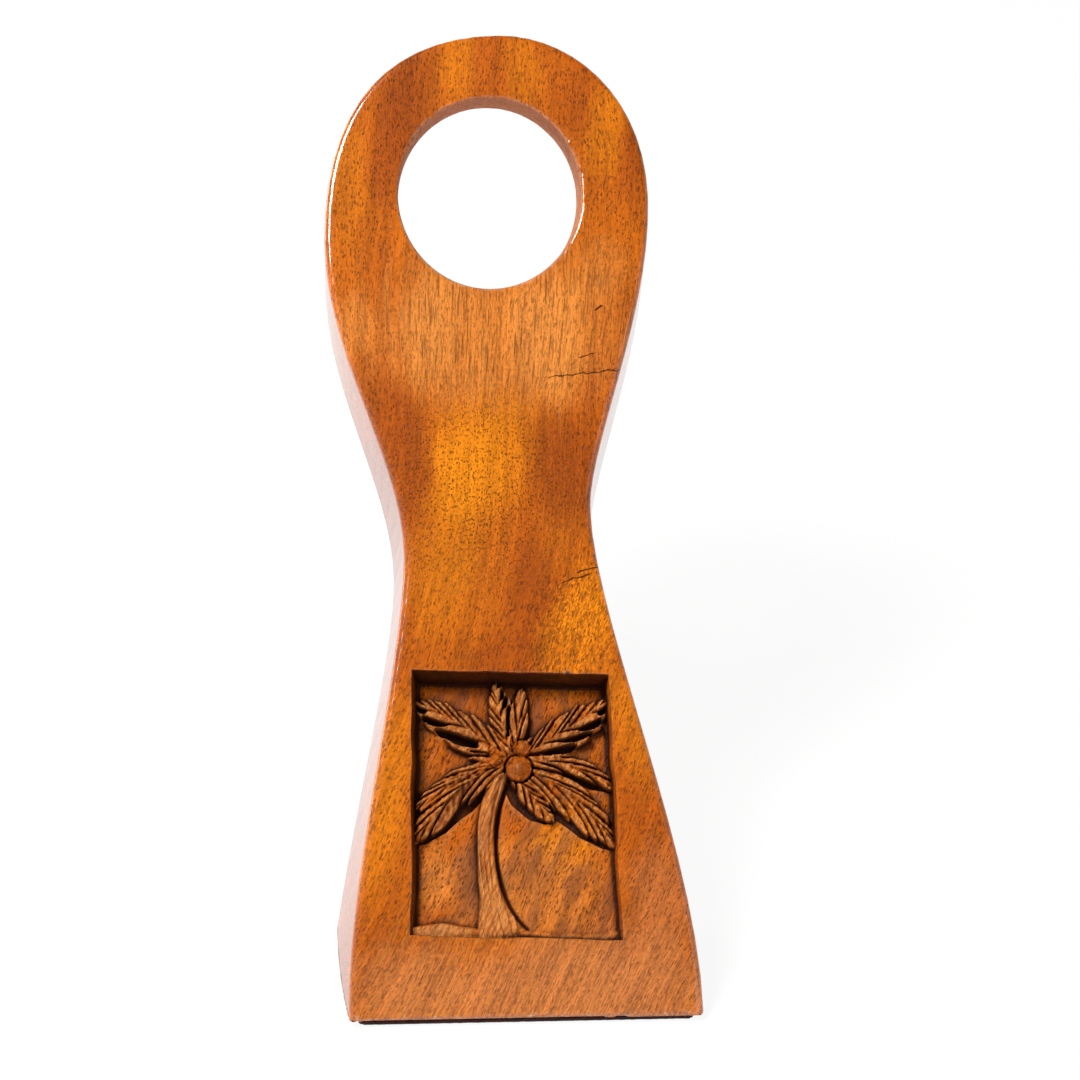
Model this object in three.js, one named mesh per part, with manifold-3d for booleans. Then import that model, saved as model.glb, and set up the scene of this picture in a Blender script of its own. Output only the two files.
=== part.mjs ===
// Balancing wine bottle holder: one leaning hardwood plank with a slanted hole for the bottle's neck, a
// foot cut level, and a coconut palm carved into a sunk panel. A thin pad is glued under the foot.
// Millimetres, +Z up. The origin is the middle of the pad's underside, and the carved face looks to -Y.

import * as THREE from 'three';
import { ConvexGeometry } from 'three/addons/geometries/ConvexGeometry.js';
import { mergeVertices } from 'three/addons/utils/BufferGeometryUtils.js';
import Module from 'manifold-3d';

const wasm = await Module();
wasm.setup();

// Plank
const faceLength = 275; // carved face, from the toe to the top of the head
const thickness = 33;
const lean = 45; // degrees back from upright
const edgeRound = 1.2; // softened edges of both faces

// Outline of the carved face, seen from the front. Heights run up the face from the toe
const footWidth = 91.5;
const footCorner = 2.5;
const waistWidth = 50;
const waistOffset = -4.7; // hand cut: waist, head and top lie left of the foot's middle
const headWidth = 88.6;
const headOffset = -5.7;
const topOffset = -1.5;
// An ease is the share of a curve's height or width over which it leaves its end straight
const footEase = 0.3;
const waistEase = 0.22;
const headEase = 0.37;
// A splay is how far a side spreads towards the back at the toe. It fades out up to the middle of the hole
const leftSide = {
  hand: -1,
  splay: 7,
  waistHeight: 126.5,
  headHeight: 215.5,
  shoulderEase: 0.3,
  crownEase: 0.68,
  topEase: 0.6,
};
const rightSide = {
  hand: 1,
  splay: 2.5,
  waistHeight: 138.5,
  headHeight: 226.5,
  shoulderEase: 0.2,
  crownEase: 0.63,
  topEase: 0.5,
};

// Hole for the neck, bored on a slant and filed a little oval
const boreWidth = 50;
const boreHeight = 53;
const boreTilt = 17; // degrees from square to the face, rising towards the back
const holeHeight = 228.3; // middle of the front rim above the toe
const holeOffset = -4.8;
const rimChamfer = 0.8;

// Sunk panel, marked out by hand: its floor is deep at the top and rises towards the foot
const panelLeft = -29;
const panelRight = 24.8;
const panelFoot = 21.8;
const panelTop = 93.3;
const panelSlant = 1.2; // left corners lie this much higher, right corners lower
const panelTaper = 0.8; // each side leans in by this much at the top, and out at the foot
const panelDepthTop = 8;
const panelDepthFoot = 4;
const wallInset = 1.5; // foot of each chiselled wall, in from its edge

// Palm, as shares of the panel's width and height from its lower left corner. A frond reaches the given
// distances to the left and right of its rib
const fronds = [
  { root: [0.45, 0.7], middle: [0.26, 0.815], tip: [0.02, 0.895], reach: [5.4, 4.6] },
  { root: [0.475, 0.72], middle: [0.435, 0.84], tip: [0.43, 0.96], reach: [2.8, 4] },
  { root: [0.525, 0.72], middle: [0.53, 0.83], tip: [0.545, 0.935], reach: [2.8, 3.2] },
  { root: [0.57, 0.7], middle: [0.78, 0.81], tip: [0.985, 0.925], reach: [5.2, 5.6] },
  { root: [0.58, 0.675], middle: [0.8, 0.66], tip: [0.985, 0.585], reach: [3.6, 4] },
  { root: [0.49, 0.655], middle: [0.77, 0.585], tip: [0.985, 0.4], reach: [4.2, 8] },
  { root: [0.5, 0.65], middle: [0.58, 0.565], tip: [0.69, 0.465], reach: [3, 4.4] },
  { root: [0.46, 0.65], middle: [0.22, 0.55], tip: [0.02, 0.365], reach: [7, 4.5] },
  { root: [0.42, 0.665], middle: [0.22, 0.615], tip: [0.025, 0.5], reach: [4, 2.6] },
];
const frondClearance = 1.6; // crown end of a frond's rib, below the face
const frondTipHeight = 2.2; // tip of the rib, above the panel's floor
const frondEdge = 0.6; // height of a frond's edge as a share of its rib
const rootFullness = 0.5; // width at the root, as a share of the widest
const tipFullness = 0.1;
const leafletsPerSide = 6;
const leafletNotch = 0.6; // width left between two leaflets, as a share of the frond's
const leafletLean = 0.8; // how far leaflets point to the tip, as a share of half their spacing
const trunkLine = [[0.45, 0.64], [0.33, 0.47], [0.34, 0.28], [0.42, 0.02]];
const trunkWidth = 4.6;
const trunkFlare = 9; // added to the width at the ground
const trunkFlarePower = 6; // the higher, the nearer to the ground the flare starts
const trunkHeight = 3; // above the panel's floor
const bigNut = { radius: 3.8, clearance: 0.8 }; // clearance below the face
const smallNut = { radius: 2.6, clearance: 1.7 };
const nuts = [
  { at: [0.53, 0.645], ...bigNut },
  { at: [0.548, 0.725], ...smallNut },
  { at: [0.412, 0.678], ...smallNut },
];
const groundLine = [[0, 0.015], [0.15, 0.045], [0.5, 0.02], [1, 0.03]];
const groundWidth = 6;
const groundHeight = 1.6;

// Pad
const padThickness = 1.5;
const padInset = 1.8; // in from the edges of the foot
const padCorner = 3;
const glueLine = 0.3;

// Smoothness
const outlineSteps = 14;
const boreSteps = 64;
const edgeSteps = 2;
const trunkSteps = 12;
const groundSteps = 10;
const nutSteps = 16;
const archSteps = 6;

// Cuts run this far past the faces that they open, and carved forms reach this far into the wood
const overcut = 2;

const leanAngle = THREE.MathUtils.degToRad(lean);
const turnUp = Math.PI / 2 - leanAngle; // turns the plank from lying on its back to its lean
const footDepth = thickness / Math.cos(leanAngle);
const heelHeight = thickness * Math.tan(leanAngle); // lower end of the back face, up the plank

function solid(geometry) {
  geometry.deleteAttribute('normal');
  geometry.deleteAttribute('uv');
  const merged = mergeVertices(geometry);
  const vertProperties = merged.attributes.position.array;
  const triVerts = Uint32Array.from(merged.index.array);
  return new wasm.Manifold(new wasm.Mesh({ numProp: 3, vertProperties, triVerts }));
}

function surface(manifold) {
  const mesh = manifold.getMesh();
  const geometry = new THREE.BufferGeometry();
  geometry.setAttribute('position', new THREE.BufferAttribute(mesh.vertProperties, 3));
  geometry.setIndex(new THREE.BufferAttribute(mesh.triVerts, 1));
  geometry.computeVertexNormals();
  return geometry;
}

// Closed body through a row of rings, each listed from the left of the path over the top to the right
function loft(rings) {
  const count = rings[0].length;
  const triangles = [];
  for (let ring = 0; ring + 1 < rings.length; ring++) {
    for (let i = 0; i < count; i++) {
      const a = ring * count + i;
      const b = ring * count + ((i + 1) % count);
      triangles.push(a, b, b + count, a, b + count, a + count);
    }
  }
  const last = (rings.length - 1) * count;
  for (let i = 1; i + 1 < count; i++) {
    triangles.push(0, i + 1, i, last, last + i, last + i + 1);
  }
  const geometry = new THREE.BufferGeometry().setFromPoints(rings.flat());
  geometry.setIndex(triangles);
  return geometry;
}

// Each side of the outline runs from the foot in to the waist, out to the head and over to the top
function sideCurves({ hand, waistHeight, headHeight, shoulderEase, crownEase, topEase }) {
  const foot = new THREE.Vector2(hand * footWidth / 2, footCorner);
  const waist = new THREE.Vector2(waistOffset + hand * waistWidth / 2, waistHeight);
  const head = new THREE.Vector2(headOffset + hand * headWidth / 2, headHeight);
  const top = new THREE.Vector2(topOffset, faceLength);
  const lower = waist.y - foot.y;
  const upper = head.y - waist.y;
  const over = top.y - head.y;
  const above = (end, rise) => new THREE.Vector2(end.x, end.y + rise);
  const beside = new THREE.Vector2(THREE.MathUtils.lerp(top.x, head.x, topEase), top.y);
  const curve = (...points) => new THREE.CubicBezierCurve(...points);
  return [
    curve(foot, above(foot, lower * footEase), above(waist, -lower * waistEase), waist),
    curve(waist, above(waist, upper * shoulderEase), above(head, -upper * headEase), head),
    curve(head, above(head, over * crownEase), beside, top),
  ];
}

function faceOutline() {
  const shape = new THREE.Shape();
  const half = footWidth / 2;
  shape.moveTo(footCorner - half, 0);
  shape.lineTo(half - footCorner, 0);
  shape.quadraticCurveTo(half, 0, half, footCorner);
  for (const curve of sideCurves(rightSide)) {
    shape.bezierCurveTo(...curve.v1, ...curve.v2, ...curve.v3);
  }
  for (const curve of sideCurves(leftSide).reverse()) {
    shape.bezierCurveTo(...curve.v2, ...curve.v1, ...curve.v0);
  }
  shape.quadraticCurveTo(-half, 0, footCorner - half, 0);
  return shape;
}

// How far a side lies out at the back face, at a height up the plank
function splayAt(side, height) {
  return side.hand * side.splay * Math.max(0, 1 - height / holeHeight);
}

// The plank lies in its own frame: X across, Y up the face, Z out of the face, which is at Z = 0
function blank() {
  const geometry = new THREE.ExtrudeGeometry(faceOutline(), {
    depth: thickness - 2 * edgeRound,
    bevelThickness: edgeRound,
    bevelSize: edgeRound,
    bevelOffset: -edgeRound,
    bevelSegments: edgeSteps,
    curveSegments: outlineSteps,
  });
  geometry.translate(0, 0, edgeRound - thickness);
  const place = geometry.attributes.position;
  for (let i = 0; i < place.count; i++) {
    const x = place.getX(i);
    const side = x < 0 ? leftSide : rightSide;
    const depthShare = -place.getZ(i) / thickness;
    place.setX(i, x + splayAt(side, place.getY(i)) * depthShare);
  }
  return solid(geometry);
}

// Block under the table line, larger than the plank
function belowFoot() {
  const size = 2 * faceLength;
  return solid(new THREE.BoxGeometry(size, size, size).translate(0, 0, -size / 2).rotateX(-turnUp));
}

function neckBore() {
  const section = new THREE.Shape();
  section.absellipse(0, 0, boreWidth / 2, boreHeight / 2, 0, 2 * Math.PI);
  const length = 4 * thickness; // past both faces on the slant
  const geometry = new THREE.ExtrudeGeometry(section, {
    depth: length,
    bevelEnabled: false,
    curveSegments: boreSteps / 2,
  });
  geometry.translate(0, 0, -length / 2);
  geometry.rotateX(THREE.MathUtils.degToRad(boreTilt));
  return solid(geometry.translate(holeOffset, holeHeight, 0));
}

// Cone that breaks the bore's edge, widening outwards through a face at the given depth
function rimCut(depth, outwards) {
  const tilt = THREE.MathUtils.degToRad(boreTilt);
  const rise = boreHeight / boreWidth / Math.cos(tilt);
  const wide = boreWidth / 2 + rimChamfer;
  const narrow = boreWidth / 2 - rimChamfer;
  const cone = new THREE.CylinderGeometry(wide, narrow, 2 * rimChamfer, boreSteps);
  cone.rotateX(outwards * Math.PI / 2);
  cone.scale(1, rise, 1);
  return solid(cone.translate(holeOffset, holeHeight + depth * Math.tan(tilt), -depth));
}

// Point of the panel's mouth at the given shares of its width and height
function mouthPoint(across, up) {
  const taper = panelTaper * (2 * up - 1);
  const left = panelLeft + taper;
  const right = panelRight - taper;
  const slant = panelSlant * (1 - 2 * across);
  return new THREE.Vector3(
    THREE.MathUtils.lerp(left, right, across),
    THREE.MathUtils.lerp(panelFoot, panelTop, up) + slant,
    0,
  );
}

function panelDepth(up) {
  return THREE.MathUtils.lerp(panelDepthFoot, panelDepthTop, up);
}

function floorPoint([across, up], height = 0) {
  return mouthPoint(across, up).setZ(height - panelDepth(up));
}

function panelRecess() {
  const corners = [];
  for (const across of [0, 1]) {
    for (const up of [0, 1]) {
      const mouth = mouthPoint(across, up);
      const floor = mouth.clone();
      floor.x += wallInset * (1 - 2 * across);
      floor.y += wallInset * (1 - 2 * up);
      floor.z = -panelDepth(up);
      const past = overcut / panelDepth(up);
      corners.push(floor, mouth.clone().lerp(floor, -past));
    }
  }
  return solid(new ConvexGeometry(corners));
}

// Curve through three points
function throughCurve(start, middle, end) {
  const control = middle.clone().multiplyScalar(2).sub(start.clone().lerp(end, 0.5));
  return new THREE.QuadraticBezierCurve3(start, control, end);
}

function leftOf(direction) {
  return new THREE.Vector3(-direction.y, direction.x, 0).normalize();
}

// Share of a frond's widest reach at a share of its length: full in the middle, narrow at the tip
function fullnessAt(along) {
  const end = along < 0.5 ? rootFullness : tipFullness;
  return THREE.MathUtils.lerp(end, 1, Math.sin(Math.PI * along));
}

// Palm leaf with a raised rib, its edges cut into leaflets that point to the tip
function frond({ root, middle, tip, reach }) {
  const path = throughCurve(floorPoint(root), floorPoint(middle), floorPoint(tip));
  const rootHeight = panelDepth(root[1]) - frondClearance;
  const steps = 2 * leafletsPerSide;
  const stepLength = path.getLength() / steps;
  const rings = [];
  for (let i = 0; i <= steps; i++) {
    const along = i / steps;
    const centre = path.getPointAt(along);
    const forward = path.getTangentAt(along);
    const aside = leftOf(forward);
    const isTip = i % 2 === 1;
    const width = fullnessAt(along) * (isTip ? 1 : leafletNotch);
    const lead = centre.clone().addScaledVector(forward, isTip ? leafletLean * stepLength : 0);
    const rib = THREE.MathUtils.lerp(rootHeight, frondTipHeight, along);
    const left = lead.clone().addScaledVector(aside, reach[0] * width);
    const right = lead.clone().addScaledVector(aside, -reach[1] * width);
    const raised = (point, height) => point.clone().setZ(centre.z + height);
    rings.push([
      raised(left, -overcut),
      raised(left, rib * frondEdge),
      raised(centre, rib),
      raised(right, rib * frondEdge),
      raised(right, -overcut),
    ]);
  }
  return solid(loft(rings));
}

// Rounded ridge along a path on the panel's floor
function ridge(path, steps, widthAt, height) {
  const rings = [];
  for (let i = 0; i <= steps; i++) {
    const along = i / steps;
    const centre = path.getPointAt(along);
    const side = leftOf(path.getTangentAt(along));
    const ring = [centre.clone().addScaledVector(side, widthAt(along) / 2)];
    ring[0].z -= overcut;
    for (let j = 0; j <= archSteps; j++) {
      const angle = Math.PI * j / archSteps;
      const point = centre.clone().addScaledVector(side, Math.cos(angle) * widthAt(along) / 2);
      point.z += height * Math.sin(angle);
      ring.push(point);
    }
    ring.push(ring[archSteps + 1].clone().setZ(ring[0].z));
    rings.push(ring);
  }
  return solid(loft(rings));
}

function trunk() {
  const path = new THREE.CubicBezierCurve3(...trunkLine.map((place) => floorPoint(place)));
  const widthAt = (along) => trunkWidth + trunkFlare * along ** trunkFlarePower;
  return ridge(path, trunkSteps, widthAt, trunkHeight);
}

function ground() {
  const path = new THREE.CatmullRomCurve3(groundLine.map((place) => floorPoint(place)));
  return ridge(path, groundSteps, () => groundWidth, groundHeight);
}

// Coconut standing out of the panel's floor on a foot as wide as itself, so that no gap is left under it
function nut({ at, radius, clearance }) {
  const centre = mouthPoint(...at).setZ(-clearance - radius);
  const ball = new THREE.SphereGeometry(radius, nutSteps, nutSteps / 2);
  const reach = panelDepth(at[1]) + overcut;
  const foot = new THREE.CylinderGeometry(radius, radius, reach, nutSteps);
  foot.rotateX(Math.PI / 2).translate(0, 0, -reach / 2);
  return solid(ball.translate(...centre)).add(solid(foot.translate(...centre)));
}

function carvedPlank() {
  let body = blank().subtract(panelRecess());
  const relief = [trunk(), ground(), ...fronds.map(frond), ...nuts.map(nut)];
  for (const form of relief) {
    body = body.add(form);
  }
  const cuts = [neckBore(), rimCut(0, 1), rimCut(thickness, -1), belowFoot()];
  for (const cut of cuts) {
    body = body.subtract(cut);
  }
  return surface(body);
}

// Where a side of the carved face lies at a height below the waist
function reachAt(side, height) {
  const points = sideCurves(side)[0].getPoints(outlineSteps);
  const above = points.findIndex((point) => point.y >= height);
  const upper = points[Math.max(above, 1)];
  const under = points[Math.max(above, 1) - 1];
  const share = (height - under.y) / (upper.y - under.y);
  return THREE.MathUtils.lerp(under.x, upper.x, share);
}

function roundedShape(corners, radius) {
  const shape = new THREE.Shape();
  corners.forEach((corner, i) => {
    const before = corners[(i + corners.length - 1) % corners.length];
    const after = corners[(i + 1) % corners.length];
    const start = corner.clone().add(before.clone().sub(corner).setLength(radius));
    const end = corner.clone().add(after.clone().sub(corner).setLength(radius));
    if (i === 0) {
      shape.moveTo(start.x, start.y);
    } else {
      shape.lineTo(start.x, start.y);
    }
    shape.quadraticCurveTo(corner.x, corner.y, end.x, end.y);
  });
  return shape;
}

// The pad follows the foot's face, which is wider at the heel than at the toe
function footPad() {
  const toe = padInset - footDepth / 2;
  const heel = footDepth / 2 - padInset;
  const heelAt = (side) => reachAt(side, heelHeight) + splayAt(side, heelHeight) - side.hand * padInset;
  const corners = [
    new THREE.Vector2(-footWidth / 2 + padInset, toe),
    new THREE.Vector2(footWidth / 2 - padInset, toe),
    new THREE.Vector2(heelAt(rightSide), heel),
    new THREE.Vector2(heelAt(leftSide), heel),
  ];
  return new THREE.ExtrudeGeometry(roundedShape(corners, padCorner), {
    depth: padThickness,
    bevelEnabled: false,
    curveSegments: archSteps,
  });
}

function part(name, geometry, material) {
  const mesh = new THREE.Mesh(geometry, material);
  mesh.name = name;
  return mesh;
}

const lacqueredWood = new THREE.MeshStandardMaterial({ color: 0xb0601f, roughness: 0.35, metalness: 0 });
const darkFelt = new THREE.MeshStandardMaterial({ color: 0x2c1512, roughness: 0.95, metalness: 0 });

const plank = new THREE.Group();
plank.position.set(0, -footDepth / 2, padThickness + glueLine);
plank.rotation.x = turnUp;
plank.add(part('carved_plank', carvedPlank(), lacqueredWood));

const holder = new THREE.Group();
holder.add(plank, part('foot_pad', footPad(), darkFelt));

export default holder;
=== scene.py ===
"""Looks of a balancing wine bottle holder: a lacquered hardwood plank with a carved palm, on a felt pad whose
dark colour also paints the line of shade under the toe.

The plank is carved in its own frame, in millimetres: X across, Y up the face from the toe, Z out of the face.
"""
import math

import bmesh
import bpy
import numpy as np
from mathutils import Color, Matrix, Vector
from mathutils.bvhtree import BVHTree


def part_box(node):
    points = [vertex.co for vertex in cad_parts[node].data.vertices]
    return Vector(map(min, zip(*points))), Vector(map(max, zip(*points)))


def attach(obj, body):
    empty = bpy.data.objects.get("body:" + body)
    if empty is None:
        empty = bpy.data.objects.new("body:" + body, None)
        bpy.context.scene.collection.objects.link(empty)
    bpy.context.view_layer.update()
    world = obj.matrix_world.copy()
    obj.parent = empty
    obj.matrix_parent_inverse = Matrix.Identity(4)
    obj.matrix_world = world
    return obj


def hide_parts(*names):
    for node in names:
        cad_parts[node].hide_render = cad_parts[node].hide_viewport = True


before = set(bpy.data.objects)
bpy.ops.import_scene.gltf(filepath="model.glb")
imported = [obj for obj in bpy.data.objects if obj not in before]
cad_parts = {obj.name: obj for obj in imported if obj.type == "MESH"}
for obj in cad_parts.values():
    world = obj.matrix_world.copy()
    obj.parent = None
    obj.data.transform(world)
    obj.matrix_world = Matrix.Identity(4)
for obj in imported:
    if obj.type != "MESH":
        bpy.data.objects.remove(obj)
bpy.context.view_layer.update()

# Plank, in the sizes of its solid
MM = 0.001
THICKNESS = 33.0
LEAN = math.radians(45.0)
GLUE_LINE = 0.3

# Sunk panel: edges of its mouth, depths of its sloping floor, and how far its walls lean in and waver
PANEL_LEFT = -29.0
PANEL_RIGHT = 24.8
PANEL_FOOT = 21.8
PANEL_TOP = 93.3
PANEL_SLANT = 1.2
PANEL_TAPER = 0.8
DEPTH_TOP = 8.0
DEPTH_FOOT = 4.0
WALL_INSETS = {"left": 1.5, "right": 1.0, "foot": 0.9, "top": 2.0}
WALL_WOBBLE = 0.28
WOBBLE_LENGTH = 7.0
WALL_SEED = 30  # of the first wall, and one more for each of the others

# A nick in the upper edge of the panel, cut where the wall is higher than this level
NICK = (13.0, 92.4)
NICK_SIZE = 1.5
NICK_DEPTH = 0.5
NICK_LEVEL = -0.5

# Palm, in shares of the panel's width and height. Each pair of a frond is for the left and right of its rib:
# its reach and the width of its leaflets in millimetres, and where it has them, gaps between the leaflets and
# a trench along their ends, both painted dark as shadow. The sweep is their angle to the rib at the root and
# the tip, in degrees
NEITHER_SIDE = (0, 0)
FRONDS = [
    dict(root=(0.47, 0.69), middle=(0.26, 0.80), tip=(0.01, 0.90),
         reach=(6.6, 4.6), pitch=(2.7, 1.3), sweep=(28, 15), gaps=(1, 0)),
    dict(root=(0.49, 0.70), middle=(0.445, 0.84), tip=(0.425, 0.985),
         reach=(3.2, 4.2), pitch=(1.3, 2.1), sweep=(32, 22), gaps=(0, 1)),
    dict(root=(0.52, 0.70), middle=(0.535, 0.83), tip=(0.56, 0.965),
         reach=(2.8, 3.2), pitch=(1.2, 1.4), sweep=(14, 8)),
    dict(root=(0.55, 0.69), middle=(0.77, 0.80), tip=(1.0, 0.925),
         reach=(4.8, 6.4), pitch=(1.3, 2.5), sweep=(28, 16), gaps=(0, 1)),
    dict(root=(0.56, 0.67), middle=(0.80, 0.655), tip=(1.01, 0.57),
         reach=(3.6, 3.8), pitch=(1.2, 1.5), sweep=(13, 8), trench=(0, 1)),
    dict(root=(0.50, 0.655), middle=(0.78, 0.55), tip=(1.0, 0.345),
         reach=(4.4, 7.2), pitch=(1.3, 1.5), sweep=(16, 9), trench=(0, 1)),
    dict(root=(0.49, 0.665), middle=(0.57, 0.565), tip=(0.70, 0.45),
         reach=(3.0, 5.2), pitch=(1.4, 1.7), sweep=(30, 24), trench=(0, 1)),
    dict(root=(0.47, 0.655), middle=(0.23, 0.555), tip=(0.01, 0.345),
         reach=(6.0, 5.2), pitch=(1.6, 1.3), sweep=(18, 9), trench=(1, 0)),
    dict(root=(0.45, 0.665), middle=(0.23, 0.60), tip=(0.01, 0.475),
         reach=(3.6, 3.2), pitch=(1.4, 1.3), sweep=(14, 8)),
]
FROND_SEED = 100  # of the first frond, and one more for each of the others
FROND_CLEARANCE = 1.6  # crown end of a rib, below the face
FROND_TIP_HEIGHT = 2.6
FROND_DROOP = 0.25
FULLNESS = ((0.0, 0.55), (0.15, 0.8), (0.45, 1.0), (0.75, 0.8), (0.92, 0.4), (1.0, 0.0))
SWEEP_FALL = 0.6
LINE_ROUNDS = 10
LINE_STEP = 0.6
LINE_SAMPLES = 200

# Leaflets: spread, level and point in shares of the frond's own, uneven pitch, and cuts
LEAFLET_SPREAD = (0.86, 1.1)
LEAFLET_LEVEL = (0.65, 1.0)
LEAFLET_POINT = 0.18
LEAFLET_END = (1.0, 0.9)
LEAFLET_TILT = 1.7
LEAST_REACH = 0.1
MAX_LEAFLETS = 64
PITCH_JITTER = 0.45
JITTER_CELL = (1.3, 1.0)
JITTER_SEED = 50  # on top of the frond's own
SIDE_SHIFT = 9.5  # keeps the jitter of the two sides of a rib apart
CUT_SHARPNESS = 4
RIB_CUT = 0.4
CUT_REACH = 0.6
CUT_DEPTHS = (0.35, 1.0)
GAP_START = 0.2
GAP_END = 1.0
GAP_WIDTH = 0.95
GAP_EDGE = 0.2
STAB_CUT = 1.4
SPINE_EDGE = (0.5, 0.1)
SPINE_LEVEL = 0.65
TRENCH_SHARE = 0.5
TRENCH_REACH = 1.06
TRENCH_DEPTH = 1.0
TRENCH_EDGE = 0.4
CROWN = (0.495, 0.685)
CROWN_RADIUS = 7.0
CROWN_HEIGHT = 4.6
ROUGH_CUTS = 0.55
ROUGH_CELL = (0.8, 1.3)
ROUGH_RISE = (0.1, 1.0)
ROUGH_SEED = 21

# Trunk, from the crown to its flared foot, with a cut along its right side
TRUNK = ((0.45, 0.64), (0.33, 0.47), (0.34, 0.28), (0.42, 0.02))
TRUNK_WIDTH = 4.6
TRUNK_FLARE = 9.0
FLARE_POWER = 6
TRUNK_HEIGHT = 2.4
TRUNK_START = (-1.0, 1.0)
TRUNK_RUN_OUT = 3.0
TRUNK_CUT = 1.0
TRUNK_CUT_NEAR = (0.0, 0.35)
TRUNK_CUT_FAR = (1.5, 0.5)
BARK_RELIEF = 0.7
BARK_CELL = (0.6, 7.0)
BARK_SEED = 5

# Nuts: place, radius, depth of the top below the face, and depth of the cut round it
NUTS = [
    ((0.53, 0.645), 3.5, 0.9, 2.2),
    ((0.55, 0.722), 2.4, 2.0, 0.8),
    ((0.425, 0.68), 2.5, 2.4, 0.6),
]
NUT_CUT_WIDTH = 0.8
NUT_FACETS = 6
FACET_TILT = math.radians(44.0)
FACET_DEPTH = 0.5

# Ground: its line above the foot of the panel by shares of the width, with a mound at the left
GROUND_LINE = ((0.0, 3.6), (0.15, 4.9), (0.27, 4.2), (0.4, 3.0), (0.7, 2.6), (1.0, 3.4))
GROUND_WOBBLE = 0.5
GROUND_WOBBLE_LENGTH = 4.0
GROUND_WOBBLE_SEED = 17
MOUND_HEIGHT = 1.9
MOUND_END = (0.2, 0.45)
GROUND_HEIGHT = 0.7
GROUND_RELIEF = 0.25
GROUND_CELL = (3.0, 1.5)
GROUND_SEED = 18
GROUND_EDGE = 1.3

# Marks of the chisel on the panel's floor, and finer ones over all of it
CHISEL_SLANT = 0.4
CHISEL_RELIEF = 0.16
CHISEL_CELL = (3.0, 8.0)
CHISEL_SEED = 11
TOOL_MARKS = 0.06
TOOL_CELL = (0.5, 1.6)
TOOL_SEED = 12
LEAST_RAISED = 0.05

# How far the stain, the painted shade and the rubbing go, from 0 to 1, and the heights or shares over which
# they set in
# The walls carry painted shade, darkest on the top and left walls, which face away from the light
WALL_SHADES = {"left": 0.75, "right": 0.25, "foot": 0.3, "top": 0.9}
WALL_SHADE_DEPTHS = (-0.1, -0.4)
LEAF_STAIN = 0.1
LEAF_STAIN_RISE = (0.2, 1.0)
# The bare floor darkens towards the top of the panel, with stain and with painted shade under the top wall
FLOOR_STAIN_AND_SHADE = 0.1
FLOOR_DARKENING_SHARES = (0.35, 1.0)
BARE_FLOOR = (1.5, 0.3)
# Cuts beside the trunk, gaps between leaflets and trenches under the fronds are painted dark as shadow
CUT_SHADOW = 0.8
CUT_SHADOW_DEPTHS = (0.2, 0.8)
# The trunk is rubbed lighter, which also paints a highlight along it
TRUNK_RUB_AND_HIGHLIGHT = 0.85
TRUNK_LIGHTENING_RISE = (0.5, 1.6)
NUT_RUB = 0.25

# Hollows and crests of the relief, as differences from its height around them. Hollows take stain and painted
# shade, steep slopes take painted shade, and rubbed crests also carry painted highlights
HOLLOW_REACH = 6
BLUR_WIDTH = 3  # reaches on each side of a point
HOLLOW_DEPTH = 0.7
HOLLOW_STAIN_AND_SHADE = 0.95
CREST_HEIGHT = 0.7
STEEP_SLOPES = (1.5, 4.0)
STEEP_SHADE = 0.85
SUNK_DEPTHS = (0.1, 1.0)

# Fineness of the carved mesh
VOXEL = 0.7
PANEL_CUTS = 3
GRID_STEP = 0.15
GRID_MARGIN = 2.0
SKIN_SMOOTHING = 0.5
# Reach of the block that fills the panel, past its mouth and below its floor
FILL_PAST = 1.0
FILL_BELOW = 2.0
# Skin this near the plane of the foot is laid onto it, and skin this near its ends is drawn out to the sides
FOOT_TRUING = 0.45
SIDE_TRUING = 0.6
RAY_LIFT = 0.05

# Felt pad: fineness of its mesh, and the fuzz of its cut edge as a share of its width
FELT_VOXEL = 0.45
FUZZ_SHARE = 0.003
FUZZ_CELL = (0.7, 0.7)
FUZZ_CLIMB = 7
FUZZ_SEED = 71


def lerp(start, end, share):
    return start + (end - start) * share


def smooth(low, high, value):
    """0 below low, 1 above high, with a smooth rise between."""
    share = np.clip((value - low) / (high - low), 0, 1)
    return share * share * (3 - 2 * share)


def lattice_noise(x, y, cell, seed):
    """Smooth noise between -1 and 1 on a lattice of the given cell size."""
    size = 64
    table = np.random.default_rng(seed).uniform(-1, 1, (size, size))
    across = x / cell[0]
    up = y / cell[1]
    column = np.floor(across).astype(int)
    row = np.floor(up).astype(int)
    across = smooth(0, 1, across - column)
    up = smooth(0, 1, up - row)

    def corner(right, above):
        return table[(column + right) % size, (row + above) % size]

    lower = lerp(corner(0, 0), corner(1, 0), across)
    upper = lerp(corner(0, 1), corner(1, 1), across)
    return lerp(lower, upper, up)


def line_noise(run, length, seed):
    """Smooth noise between -1 and 1 along a line."""
    return lattice_noise(run, 0 * run, (length, 1.0), seed)


def mouth_point(across, up):
    """Point on the panel's mouth at the given shares of its width and height."""
    taper = PANEL_TAPER * (2 * up - 1)
    x = lerp(PANEL_LEFT + taper, PANEL_RIGHT - taper, across)
    y = lerp(PANEL_FOOT, PANEL_TOP, up) + PANEL_SLANT * (1 - 2 * across)
    return np.array([x, y])


def panel_shares(x, y):
    """Shares of the panel's width and height at points of the face."""
    across = (x - PANEL_LEFT) / (PANEL_RIGHT - PANEL_LEFT)
    up = (y - PANEL_SLANT * (1 - 2 * across) - PANEL_FOOT) / (PANEL_TOP - PANEL_FOOT)
    taper = PANEL_TAPER * (2 * up - 1)
    across = (x - PANEL_LEFT - taper) / (PANEL_RIGHT - PANEL_LEFT - 2 * taper)
    return across, up


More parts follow.
